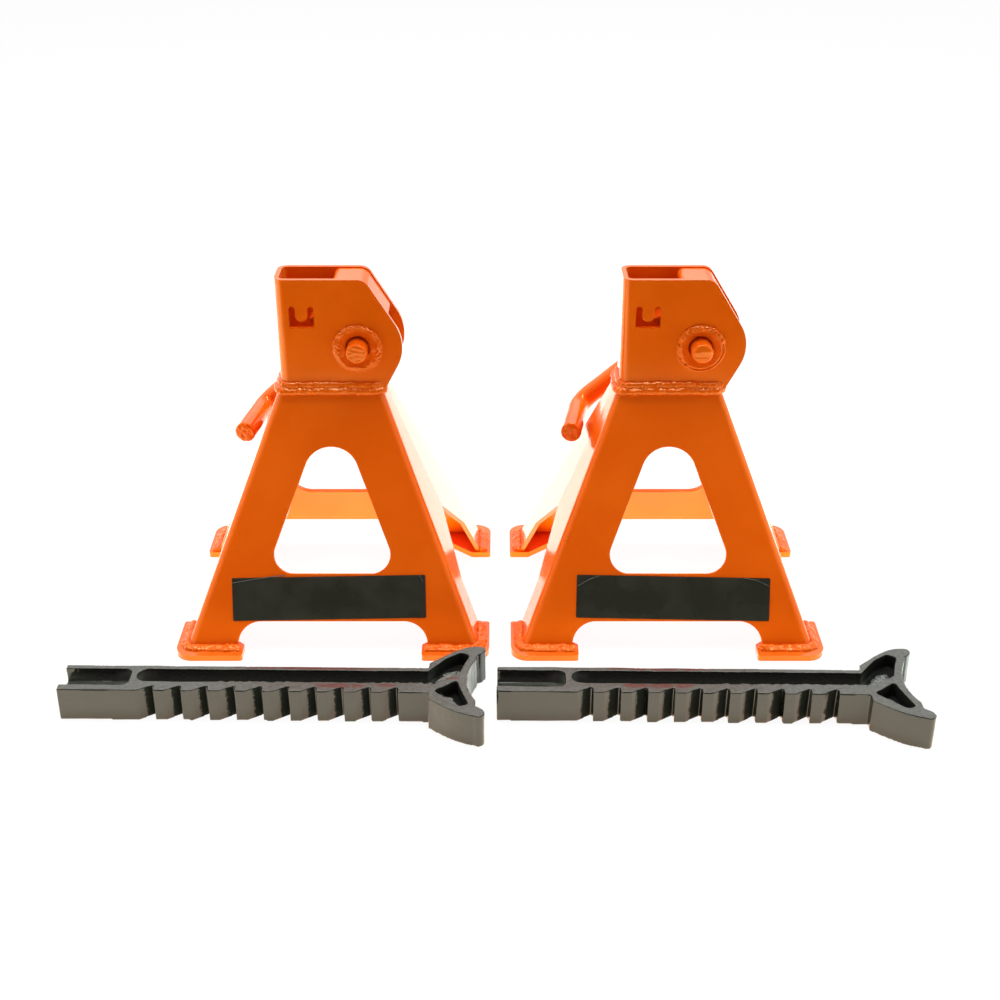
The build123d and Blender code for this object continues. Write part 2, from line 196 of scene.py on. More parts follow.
def makePaint(name, given, lumpy=0.0, coat=0.0):
    material, maker = newMaterial(name)
    cloud = maker.noise(maker.place, given["cloudScale"], 3)
    speck = maker.noise(maker.place, given["speckScale"], 2)
    colour = maker.blend(cloud.step(0.35, 0.7), given["colour"], given["thinColour"])
    specks = speck.step(0.60, 0.72) * given["speckShare"]
    colour = maker.blend(specks, colour, given["deepColour"])
    wave = maker.noise(maker.place, given["waveScale"], 2)
    peel = maker.noise(maker.place, given["peelScale"], 1)
    rough = given["rough"] + (cloud - 0.5) * given["roughSpread"]
    normal = maker.bump(given["waveShare"], given["waveDepth"], wave)
    normal = maker.bump(given["peelShare"], given["peelDepth"], peel, normal)
    if lumpy:
        crust = maker.noise(maker.place, given["lumpScale"], 4, 0.6, 0.4)
        normal = maker.bump(lumpy, given["lumpDepth"], crust, normal)
    finishMaterial(maker, colour, rough, normal, {
        "Coat Weight": coat,
        "Coat Roughness": given["coatRough"],
        "Specular Tint": given["glint"],
        "IOR": given["ior"],
    })
    return material


paint = makePaint("standPaint", orangePaint)
weldPaint = makePaint("weldPaint", orangePaint, lumpy=0.3)
thickPaint = makePaint("thickPaint", orangePaint, coat=0.4)

# painted shade: the pawl's paint is darker all over, so that it reads as shaded inside the sleeve
shadedPawlLook = {
    **orangePaint,
    "colour": rgb(0.50, 0.046, 0.0012),
    "thinColour": rgb(0.54, 0.052, 0.0014),
    "deepColour": rgb(0.40, 0.036, 0.001),
    "rough": 0.3,
}
shadedPawlPaint = makePaint("shadedPawlPaint", shadedPawlLook)

barShape = {
    "place": {                             # bottom end of the bar, and its turn in degrees
        "left": (-258.34 * mm, -101.658 * mm, -0.85),
        "right": (3.06 * mm, -103.358 * mm, -0.97),
    },
    "thick": 21.6 * mm,
    "toothDepth": 5.4 * mm,
    "draft": 0.34,                         # how much deeper the notches are at the floor
}

blackEnamel = {
    "colour": rgb(0.0085, 0.0078, 0.0072),
    "dustAndShadeColour": rgb(0.011, 0.010, 0.009),      # lighter on open faces as dust; sheltered corners keep the darker colour as painted shade
    "dustAndShadeShelter": (0.55, 0.95),
    "dustAndShadeShare": 0.75,
    "dustAndShadeSpread": 0.6,
    "cloudScale": 60,
    "grainScale": 520,
    "rough": 0.15,
    "roughSpread": 0.08,
    # rims, thin enamel over the top edges
    "rimColour": rgb(0.090, 0.081, 0.080),
    "rimHeight": (20.0 * mm, 20.7 * mm),
    "rimSlope": (0.60, 0.92),
    "rimShare": 0.62,
    "rimSpread": 1.6,
    "rimRough": 0.27,
    "rimCrust": 0.7,
    "primer": rgb(0.075, 0.009, 0.007),          # where the rims' enamel is thinnest
    "primerScale": 190,
    "primerPatch": (0.36, 0.44),
    "primerEdge": (1.3, 0.7),
    "primerShare": 0.55,
    "primerSpread": 0.6,
    # its places in mm: along the bar, across it, half length, half width
    "thin": {
        "left": ((168, 6.4, 15, 2.2), (196, 7.0, 6, 1.6), (146, 24.4, 43, 1.3),
                 (233, 14.8, 6, 1.5)),
        "right": ((83, 7.0, 8, 2.4), (98, 7.0, 7, 2.4), (111, 7.2, 6, 2.2), (98, 24.6, 31, 1.4)),
    },
    # rough ledges in the saddle
    "ledgeColour": rgb(0.125, 0.121, 0.120),
    "ledgeHeight": (13.1 * mm, 13.8 * mm),
    "ledgeSlope": (0.30, 0.60),
    "ledgeFrom": (221 * mm, 223 * mm),           # along the bar
    "ledgeGrain": (0.30, 0.52),
    # painted shade: a dark matt strip low on each notch ramp, in place of the dark reflection of
    # the step wall; the casting there is bumpier as well
    "shadeStripColour": rgb(0.006, 0.0058, 0.0055),
    "stripFrom": {"left": 0.40, "right": 0.27},  # how far down the ramp it starts
    "stripEnd": (0.97, 0.92),
    "stripSoft": 0.07,
    "stripRagged": 0.55,
    "stripCrust": 0.11,
    "rampSlope": (0.14, 0.26),
    "wet": (0.60, 0.66),                         # specks in it that stay shiny
    "wetShare": 0.6,
    # painted light: dull matt grey on the sheltered pocket floors, lighter in the long pocket that
    # gets little light, near black where they open out
    "pocketLitColour": rgb(0.090, 0.087, 0.082),
    "pocketHeight": (11.4 * mm, 12.2 * mm),
    "pocketEdge": (6.4 * mm, 7.2 * mm),          # across the bar, past the teeth
    "saddleFrom": (222 * mm, 224 * mm),          # from here on at any place across it
    "pocketShelter": (0.85, 0.62),
    "pocketDry": 0.97,
    "openColour": rgb(0.010, 0.010, 0.0095),     # where they open out
    "openFrom": (216 * mm, 226 * mm),
    "shelterReach": 12 * mm,
    "dryRough": 0.7,
    "dryGloss": 0.05,
    # unevenness, from fine to broad
    "crustScale": 1000,
    "crustDepth": 0.00050,
    "crustShare": 0.7,
    "castScale": 330,
    "castDepth": 0.00025,
    "castShare": 0.35,
    "swellScale": 75,
    "swellDepth": 0.0012,
    "swellShare": 0.5,
}


def makeEnamel(side, given):
    material, maker = newMaterial(side + "BarEnamel")
    placeX, placeY, turn = barShape["place"][side]
    along = maker.add("Mapping", {"vector_type": "TEXTURE"}, {
        "Vector": maker.place,
        "Location": (placeX, placeY, 0),
        "Rotation": (0, 0, math.radians(turn)),
    })
    x, y, z = maker.xyz(along)
    slopeX, _, slopeZ = maker.xyz(maker.add("TexCoord", out=1))
    shelter = maker.add("AmbientOcclusion", {"samples": 8, "only_local": True},
                        {"Distance": given["shelterReach"]}, out=1)
    cloud = maker.noise(maker.place, given["cloudScale"], 3)
    grain = maker.noise(maker.place, given["grainScale"], 3, 0.6)
    crust = maker.noise(maker.place, given["crustScale"], 3, 0.6)

    # masks, 1 where each kind of surface is
    high = z.step(*given["rimHeight"])
    rim = slopeZ.step(*given["rimSlope"]) * high
    ledge = (slopeZ.step(*given["ledgeSlope"]) * z.step(*given["ledgeHeight"]) * high.flipped()
             * x.step(*given["ledgeFrom"]))
    # painted shade: the notch mask picks the low part of each ramp for the dark matt strip
    depth = (1 + (1 - z / barShape["thick"]) * barShape["draft"]) * barShape["toothDepth"]
    share = y / depth
    ragged = share + (crust - 0.5) * given["stripRagged"]
    start = given["stripFrom"][side]
    notch = (slopeX.step(*given["rampSlope"]) * ragged.step(start, start + given["stripSoft"])
             * share.step(*given["stripEnd"]))
    within = y.step(*given["pocketEdge"]).most(x.step(*given["saddleFrom"]))
    pocket = shelter.step(*given["pocketShelter"]) * z.step(*given["pocketHeight"]) * within
    pocket = pocket * rim.flipped() * ledge.flipped()

    # painted shade from ambient occlusion: sheltered corners stay darker, open faces turn lighter
    # with dust
    dustAndShadeShare = given["dustAndShadeShare"] + (cloud - 0.5) * given["dustAndShadeSpread"]
    dustAndShade = shelter.step(*given["dustAndShadeShelter"]) * dustAndShadeShare
    colour = maker.blend(dustAndShade, given["colour"], given["dustAndShadeColour"])
    paleRim = rim * (given["rimShare"] + (grain - 0.5) * given["rimSpread"])
    colour = maker.blend(paleRim, colour, given["rimColour"])
    patch = maker.noise(maker.place, given["primerScale"], 3, 0.6)
    thin = None
    for middle, across, length, width in given["thin"][side]:
        far = (((x - middle * mm) / (length * mm)) ** 2 + ((y - across * mm) / (width * mm)) ** 2)
        spot = far.step(*given["primerEdge"])
        thin = spot if thin is None else thin.most(spot)
    bare = (rim * thin * patch.step(*given["primerPatch"])
            * (given["primerShare"] + grain * given["primerSpread"]))
    colour = maker.blend(bare, colour, given["primer"])
    colour = maker.blend(ledge * grain.step(*given["ledgeGrain"]), colour, given["ledgeColour"])
    rough = given["rough"] + (cloud - 0.5) * given["roughSpread"] + rim * given["rimRough"]
    cast = maker.noise(maker.place, given["castScale"], 4, 0.6)
    swell = maker.noise(maker.place, given["swellScale"], 2)
    normal = maker.bump(given["swellShare"], given["swellDepth"], swell)
    normal = maker.bump(given["castShare"], given["castDepth"], cast, normal)
    rugged = crust * (rim * given["rimCrust"]).most(notch * given["stripCrust"]).most(ledge)
    normal = maker.bump(given["crustShare"], given["crustDepth"], rugged, normal)
    shiny = maker.add("BsdfPrincipled", sockets={
        "Base Color": colour, "Roughness": rough, "Normal": normal,
    })
    # painted light: sheltered pocket floors lighter where little light reaches them
    pocketFloor = maker.blend(x.step(*given["openFrom"]), given["pocketLitColour"],
                              given["openColour"])
    # dull shader that carries the painted shade of the notch strips and the painted light of the
    # pockets
    dullPaintedLight = maker.add("BsdfPrincipled", sockets={
        "Base Color": maker.blend(pocket, given["shadeStripColour"], pocketFloor),
        "Roughness": given["dryRough"],
        "Specular IOR Level": given["dryGloss"],
        "Normal": normal,
    })
    wet = crust.step(*given["wet"]) * given["wetShare"]
    matt = (notch * wet.flipped()).most(pocket * given["pocketDry"])
    both = maker.add("MixShader", sockets={0: matt, 1: shiny, 2: dullPaintedLight})
    maker.add("OutputMaterial", sockets={"Surface": both})
    return material


enamel = {side: makeEnamel(side, blackEnamel) for side in sides}

labelFilm = {
    "colour": rgb(0.021, 0.019, 0.016),
    "edgeColour": rgb(0.034, 0.031, 0.027),
    "cloudScale": 40,
    "rough": 0.22,
    "roughSpread": 0.1,
    "bubbleScale": 240,
    "bubbleDepth": 0.0002,
    "bubbleShare": 0.3,
    "coat": 0.5,
    "coatRough": 0.08,
}


def makeFilm(name, given):
    material, maker = newMaterial(name)
    cloud = maker.noise(maker.place, given["cloudScale"], 2)
    bubbles = maker.noise(maker.place, given["bubbleScale"], 2)
    colour = maker.blend(cloud.step(0.3, 0.8), given["colour"], given["edgeColour"])
    rough = given["rough"] + (cloud - 0.5) * given["roughSpread"]
    normal = maker.bump(given["bubbleShare"], given["bubbleDepth"], bubbles)
    finishMaterial(maker, colour, rough, normal, {
        "Coat Weight": given["coat"],
        "Coat Roughness": given["coatRough"],
    })
    return material


film = makeFilm("labelFilm", labelFilm)
print("materials made")


def solidFrom(mesh, name, material, body):
    item = bpy.data.objects.new(name, mesh)
    bpy.context.scene.collection.objects.link(item)
    item.data.materials.clear()
    item.data.materials.append(material)
    for face in item.data.polygons:
        face.use_smooth = True
    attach(item, body)
    return item


def bakeModifiers(mesh, modifiers, name):
    # applies a list of (type, settings) modifiers and gives the finished mesh
    item = bpy.data.objects.new(name + "Work", mesh)
    bpy.context.scene.collection.objects.link(item)
    for kind, settings in modifiers:
        modifier = item.modifiers.new(kind, kind)
        for key, value in settings.items():
            setattr(modifier, key, value)
    graph = bpy.context.evaluated_depsgraph_get()
    done = bpy.data.meshes.new_from_object(item.evaluated_get(graph))
    bpy.data.objects.remove(item)
    return done


def roundedLoop(halfX, halfY, corner, stepLength):
    # points once round a rounded rectangle, with the outward direction of each
    points = []
    for quarter, (sx, sy) in enumerate(((1, 1), (-1, 1), (-1, -1), (1, -1))):
        cx, cy = sx * (halfX - corner), sy * (halfY - corner)
        turns = max(2, int(corner * math.pi / 2 / stepLength))
        for i in range(turns + 1):
            angle = math.pi / 2 * (quarter + i / turns)
            out = Vector((math.cos(angle), math.sin(angle), 0))
            points.append((Vector((cx, cy, 0)) + out * corner, out))
    walked = []
    for (start, startOut), (end, endOut) in zip(points, points[1:] + points[:1]):
        gap = (end - start).length
        count = max(1, round(gap / stepLength))
        for i in range(count):
            share = i / count
            walked.append((start.lerp(end, share), startOut.lerp(endOut, share).normalized()))
    return walked


def addBlob(form, place, size, along):
    # a squashed ball, its first axis lying along the bead
    turn = along.to_track_quat("X", "Z").to_matrix().to_4x4()
    matrix = Matrix.Translation(place) @ turn @ Matrix.Diagonal((*size, 1))
    bmesh.ops.create_icosphere(form, subdivisions=2, radius=1.0, matrix=matrix)


def bead(form, path, radius, flat, jitter, dice):
    # lumps along a path of (place, up) pairs, each a little different from the last
    for i, (place, up) in enumerate(path):
        ahead = path[min(i + 1, len(path) - 1)][0] - path[max(i - 1, 0)][0]
        reach = radius * (1 + dice.uniform(-jitter, jitter))
        shift = up * radius * dice.uniform(-jitter, jitter) * 0.5
        addBlob(form, place + shift, (reach * 0.95, reach, reach * flat), ahead.normalized())


def roughen(mesh, scales, seed):
    # moves each point along its normal by noise of several pitches and depths
    form = bmesh.new()
    form.from_mesh(mesh)
    form.normal_update()
    shift = Vector((seed * 3.7, seed * 1.3, seed * 2.1))   # another part of the noise
    moves = []
    for vert in form.verts:
        total = 0
        for pitch, depth in scales:
            total += noise.noise(vert.co / pitch + shift) * depth
        moves.append(vert.normal * total)
    for vert, move in zip(form.verts, moves):
        vert.co += move
    form.to_mesh(mesh)
    form.free()


def weldSkin(form, given, name, seed):
    # one lumpy skin over all the overlapping blobs in form
    mesh = bpy.data.meshes.new(name)
    form.to_mesh(mesh)
    form.free()
    mesh = bakeModifiers(mesh, [
        ("REMESH", {"mode": "VOXEL", "voxel_size": given["voxel"]}),
        ("SMOOTH", {"factor": 0.5, "iterations": given["smooth"]}),
    ], name)
    roughen(mesh, given["crust"], seed)
    return mesh


frameSet = {
    "footTop": 4.0 * mm,
    "frameTop": 153.5 * mm,
    "baseHalf": (94.7 * mm, 79.3 * mm),    # half the frame at floor level
    "topHalf": (33.53 * mm, 15.55 * mm),   # and at its top
    "corner": 5.2 * mm,
}


def frameHalf(axis, z):
    base, top = frameSet["baseHalf"][axis], frameSet["topHalf"][axis]
    return base + (top - base) * z / frameSet["frameTop"]


neckSet = {
    "upper": {"half": (33.2 * mm, 14.2 * mm), "corner": 6.5 * mm, "x": 1.35 * mm,
              "z": 159.2 * mm, "radius": 2.3 * mm},
    "lower": {"half": (33.6 * mm, 15.6 * mm), "corner": 5.2 * mm, "x": 0.0,
              "z": 155.4 * mm, "radius": 2.5 * mm},
    "pitch": 1.9 * mm,
    "sway": 0.5 * mm,                      # how far the bead wanders up and down
    "swayScale": 90,
    "flat": 1.0,
    "jitter": 0.10,
    "voxel": 0.5 * mm,
    "smooth": 1,
    "crust": ((2.6 * mm, 0.35 * mm), (1.1 * mm, 0.2 * mm)),
}


def makeNeckWeld(side, dice):
    form = bmesh.new()
    for name in ("upper", "lower"):
        run = neckSet[name]
        middle = standCentre[side] + Vector((run["x"], 0, run["z"]))
        path = []
        for place, out in roundedLoop(*run["half"], run["corner"], neckSet["pitch"]):
            shift = Vector((0, 0, dice.random() * 0.02))
            sway = noise.noise(place * neckSet["swayScale"] + shift)
            path.append((middle + place + Vector((0, 0, sway * neckSet["sway"])), out))
        bead(form, path, run["radius"], neckSet["flat"], neckSet["jitter"], dice)
    mesh = weldSkin(form, neckSet, side + "NeckBead", dice.random() * 9)
    piece = solidFrom(mesh, side + "NeckBead", weldPaint, side + "_stand")
    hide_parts(side + "_neck_weld")


collarSet = {
    "pivot": (18.2 * mm, 183.6 * mm),      # along x and z from the stand's middle
    "cheek": 14.1 * mm,                    # cheek's outer face from the middle
    "thick": 4.0 * mm,
    "steps": 72,
    # dished front of the collar: distance from the pin's middle, height above the cheek
    "dish": {
        "left": ((7.25, -3.4), (7.45, -1.2), (8.2, -0.4), (9.6, 0.2), (11.2, 0.9), (12.6, 1.7),
                 (13.6, 1.9), (14.6, 1.2), (15.6, 0.0), (15.9, -0.8)),
        "right": ((7.25, -3.4), (7.45, -1.2), (8.2, -0.4), (9.6, 0.3), (11.0, 1.2), (12.2, 2.0),
                  (12.9, 1.9), (13.3, 0.5), (13.7, 0.4), (14.4, 1.3), (15.2, 1.0), (15.9, -0.8)),
    },
    # runs of weld: first and last angle in degrees, radius, lumps, size, height above the cheek
    "runs": {
        "left": ((-205, 35, 14.5, 54, 1.25, 0.5), (-200, 20, 12.9, 34, 0.95, 1.3),
                 (40, 150, 14.0, 26, 1.5, 0.6)),
        "right": ((95, 235, 14.6, 30, 1.2, 0.4), (20, 75, 14.2, 12, 1.3, 0.5),
                  (75, 150, 13.6, 18, 1.5, 0.7), (150, 215, 12.9, 12, 0.9, 1.1)),
    },
    "ragged": 0.75 * mm,
    "flat": 0.8,
    "jitter": 0.22,
    "voxel": 0.4 * mm,
    "smooth": 2,
    "crust": ((3.5 * mm, 0.30 * mm), (1.3 * mm, 0.14 * mm)),
}


def makeCollar(side, facing, nodesReplaced, dice):
    # the bush and the weld that holds it in the cheek, as one skin under the paint
    given = collarSet
    pivotX, pivotZ = given["pivot"]
    middle = standCentre[side] + Vector((pivotX, facing * given["cheek"], pivotZ))
    form = bmesh.new()
    outline = [Vector((r * mm, facing * h * mm, 0)) for r, h in given["dish"][side]]
    outline.append(Vector((outline[-1].x, -facing * given["thick"], 0)))
    outline.append(Vector((outline[0].x, -facing * given["thick"], 0)))
    points = [form.verts.new(point) for point in outline]
    edges = [form.edges.new((points[i], points[i - 1])) for i in range(len(points))]
    bmesh.ops.spin(form, geom=points + edges, cent=(0, 0, 0), axis=(0, 1, 0), angle=math.tau,
                   steps=given["steps"], use_merge=True)
    bmesh.ops.remove_doubles(form, verts=form.verts, dist=mergeGap)
    bmesh.ops.translate(form, verts=form.verts, vec=middle)
    bmesh.ops.recalc_face_normals(form, faces=form.faces)
    for start, end, ring, lumps, radius, proud in given["runs"][side]:
        path = []
        for i in range(lumps):
            angle = math.radians(start + (end - start) * i / (lumps - 1))
            reach = ring * mm + dice.uniform(-1, 1) * given["ragged"]
            spoke = Vector((math.cos(angle), 0, math.sin(angle)))
            path.append((middle + spoke * reach + Vector((0, facing * proud * mm, 0)),
                         Vector((0, facing, 0))))
        bead(form, path, radius * mm, given["flat"], given["jitter"], dice)
    name = side + "Collar" + ("Front" if facing < 0 else "Rear")
    mesh = weldSkin(form, given, name, dice.random() * 9)
    piece = solidFrom(mesh, name, paint, side + "_stand")
    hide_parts(*nodesReplaced)


footWeldSet = {
    # each run's distance out from the leg, height above the plate and lump size
    "runs": ((0.6 * mm, 0.6 * mm, 2.3 * mm), (2.9 * mm, -0.4 * mm, 2.3 * mm)),
    "pitch": 2.3 * mm,
    "reach": (41.5 * mm, 39.0 * mm),       # along the two arms from the plate's corner
    "plateHalf": (100 * mm, 87 * mm),
    "flat": 0.95,
    "jitter": 0.16,
    "voxel": 0.55 * mm,
    "smooth": 1,
    "crust": ((4.0 * mm, 0.7 * mm), (1.2 * mm, 0.22 * mm)),
}


def makeFootWeld(side, corner, sx, sy, dice):
    given = footWeldSet
    z = frameSet["footTop"]
    limitX = given["plateHalf"][0] - given["reach"][0]
    limitY = given["plateHalf"][1] - given["reach"][1]
    form = bmesh.new()
    for gap, rise, radius in given["runs"]:
        halfX, halfY = frameHalf(0, z) + gap, frameHalf(1, z) + gap
        loop = roundedLoop(halfX, halfY, frameSet["corner"] + gap, given["pitch"])
        kept = [(place, out) for place, out in loop if place.x > limitX and place.y > limitY]
        kept.sort(key=lambda item: math.atan2(item[0].y - limitY, item[0].x - limitX))
        path = []
        for place, out in kept:
            spot = Vector((sx * place.x, sy * place.y, z + rise)) + standCentre[side]
            path.append((spot, Vector((sx * out.x, sy * out.y, 0.6)).normalized()))
        bead(form, path, radius, given["flat"], given["jitter"], dice)
    name = side + "FootBead" + corner.upper()[0] + corner[1]
    mesh = weldSkin(form, given, name, dice.random() * 9)
    piece = solidFrom(mesh, name, weldPaint, side + "_stand")
    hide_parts(side + "_foot_weld_" + corner)


seamSet = {
    "low": 74.5 * mm,                      # up the slope of the side
    "high": 158.0 * mm,
    "radius": 3.3 * mm,
    "proud": -3.1 * mm,                    # ground down nearly flush
    "pitch": 1.6 * mm,
    "flat": 1.0,
    "jitter": 0.02,
    "voxel": 0.55 * mm,
    "smooth": 4,
    "crust": ((12.0 * mm, 0.12 * mm), (3.0 * mm, 0.04 * mm)),
}


def makeSeamWeld(side, facing, node, dice):
    given = seamSet
    run = (frameSet["baseHalf"][0] - frameSet["topHalf"][0]) / frameSet["frameTop"]
    cos = 1 / math.hypot(1, run)
    upSlope = Vector((-facing * run * cos, 0, cos))
    outward = Vector((facing * cos, 0, run * cos))
    foot = standCentre[side] + Vector((facing * frameSet["baseHalf"][0], 0, 0))
    lumps = round((given["high"] - given["low"]) / given["pitch"])
    path = []
    for i in range(lumps + 1):
        s = given["low"] + (given["high"] - given["low"]) * i / lumps
        path.append((foot + upSlope * s + outward * given["proud"], outward))
    form = bmesh.new()
    bead(form, path, given["radius"], given["flat"], given["jitter"], dice)
    name = side + "SeamBead" + ("Left" if facing < 0 else "Right")
    mesh = weldSkin(form, given, name, dice.random() * 9)
    piece = solidFrom(mesh, name, paint, side + "_stand")
    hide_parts(node)


for number, side in enumerate(sides):
    dice = random.Random(seeds["welds"] + number)
    makeNeckWeld(side, dice)
    makeCollar(side, -1, (side + "_bush_front", side + "_bush_weld_front"), dice)
    makeCollar(side, 1, (side + "_bush_rear", side + "_bush_weld_rear"), dice)
    for corner, sx, sy in (("fl", -1, -1), ("fr", 1, -1), ("rl", -1, 1), ("rr", 1, 1)):
        makeFootWeld(side, corner, sx, sy, dice)
    makeSeamWeld(side, -1, side + "_seam_weld_l", dice)
    makeSeamWeld(side, 1, side + "_seam_weld_r", dice)
print("weld beads laid")

rodSet = {
    "axis": (18.2 * mm, 183.6 * mm),       # pin's line along x and z from the stand's middle
    "radius": 6.75 * mm,
    "frontY": -20.6 * mm,
    "drawFrom": 4.0 * mm,                  # length of the pin's end that is drawn out by shearing
    "drawn": 3.6 * mm,                     # and how much longer it becomes
    "tilt": 0.13,                          # the end's slope, further out at the top
    "dome": 0.5 * mm,
    "gripEnd": (-60.6 * mm, 9.0 * mm, 115.0 * mm),
    "gripRun": (-8.0, -48.5, -0.5),        # the way the grip points at its end
    "gripFace": 0.8 * mm,
    "flatFrom": 0.88,                      # share of the drawn length where the cut face starts
    "scar": 0.34 * mm,
    "scarPitch": (170, 620),               # across and down the cut face
    "scarGrow": 1.6,
    "gripScarPitch": 420,
    "gripScarGrow": 1.5,
    "voxel": 0.6 * mm,
    "smooth": 3,
    "crust": ((14 * mm, 0.12 * mm), (2.5 * mm, 0.04 * mm)),
}


def makeHandle(side, seed):
    # the bent rod, its two ends cropped and left rough under the paint
    given = rodSet
    form = bmesh.new()
    form.from_mesh(nodes[side + "_handle"].data)
    bmesh.ops.remove_doubles(form, verts=form.verts, dist=mergeGap)
    mesh = bpy.data.meshes.new(side + "Rod")
    form.to_mesh(mesh)
    form.free()
    mesh = bakeModifiers(mesh, [
        ("REMESH", {"mode": "VOXEL", "voxel_size": given["voxel"]}),
        ("SMOOTH", {"factor": 0.5, "iterations": given["smooth"]}),
    ], side + "Rod")
    centre = standCentre[side]
    gripEnd = Vector(given["gripEnd"])
    gripRun = Vector(given["gripRun"]).normalized()
    shift = Vector((seed, 0, 0))
    acrossPitch, downPitch = given["scarPitch"]
    for vert in mesh.vertices:
        local = vert.co - centre
        rx, rz = local.x - given["axis"][0], local.z - given["axis"][1]
        share = (given["frontY"] + given["drawFrom"] - local.y) / given["drawFrom"]
        if share > 0 and math.hypot(rx, rz) < 1.5 * given["radius"]:
            vert.co.y -= share * (given["drawn"] + rz * given["tilt"])
            flat = max(0.0, share - given["flatFrom"]) / (1 - given["flatFrom"])
            bulge = 1 - (rx * rx + rz * rz) / given["radius"] ** 2
            vert.co.y -= flat * bulge * given["dome"]
            cut = noise.noise(Vector((rx * acrossPitch, seed * 5, rz * downPitch)))
            vert.co.y += flat * cut * given["scar"] * given["scarGrow"]
        before = (gripEnd - local).dot(gripRun)
        if before < given["gripFace"] and (local - gripEnd).length < 2 * given["radius"]:
            cut = noise.noise(local * given["gripScarPitch"] + shift)
            vert.co += gripRun * (cut * given["scar"] * given["gripScarGrow"])
    roughen(mesh, given["crust"], seed)
    piece = solidFrom(mesh, side + "Rod", paint, side + "_lever")
    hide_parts(side + "_handle")


for number, side in enumerate(sides):
    makeHandle(side, seeds["handles"] + number)
print("handles shaped")

castSet = {
    "voxel": 0.69 * mm,
    "skin": ((22 * mm, 0.22 * mm), (6.0 * mm, 0.05 * mm)),
    "crust": 0.16 * mm,                    # extra unevenness on the rims and in the pockets
    "crustPitch": 1.5 * mm,
    "rimDepth": 1.5 * mm,
    "pocketEdges": (6.5 * mm, 23 * mm),    # across the bar
    "pocketFloor": 12.5 * mm,
    "draftEnd": 12.0 * mm,
    "toothSpan": (47 * mm, 204 * mm),
    "drops": 120,                          # frozen paint runs on the pocket's tooth-side edge
    "dropSize": (0.5, 1.15),               # in mm
    "dropSpread": (-0.4, 0.6),
    "dropStretch": (1, 1.8),
    "dropSpan": {"left": (95 * mm, 222 * mm), "right": (135 * mm, 224 * mm)},
    "dropLine": 9.3 * mm,
    # rough ledges left in the saddle's pockets, as outlines in the bar's own x and y, in mm
    "ledges": {
        "left": (((225, 18.0), (231, 28.5), (238, 31.0), (238.8, 26.0), (234, 20.5)),
                 ((223.4, 6.0), (226.5, 4.7), (232.2, 2.9), (237.8, -6.0), (238.5, -12.0),
                  (233.0, -9.5), (227.3, -3.0))),
        "right": (((225.2, 19.0), (230.8, 28.5), (237.5, 31.5), (238.0, 25.5), (231.5, 19.0),
                   (226.4, 16.0)),
                  ((228.0, 3.5), (233.5, 4.3), (236.6, -3.6), (238.0, -9.0), (233.1, -7.5),
                   (229.0, -2.8))),
    },
    "ledgeTop": {"left": (16.6 * mm, 17.4 * mm), "right": (15.2 * mm, 16.0 * mm)},
    "ledgeLumps": 200,
    "lumpSize": (1.5, 2.6),                # in mm
    "lumpSink": (0.7, 1.1),
    "lumpDrop": 2.4 * mm,                  # from a lump to the larger one that carries it
}


def insideOutline(x, y, outline):
    # even and odd crossings
    crossed = False
    for (ax, ay), (bx, by) in zip(outline, outline[1:] + outline[:1]):
        if (ay > y) != (by > y) and x < (bx - ax) * (y - ay) / (by - ay) + ax:
            crossed = not crossed
    return crossed


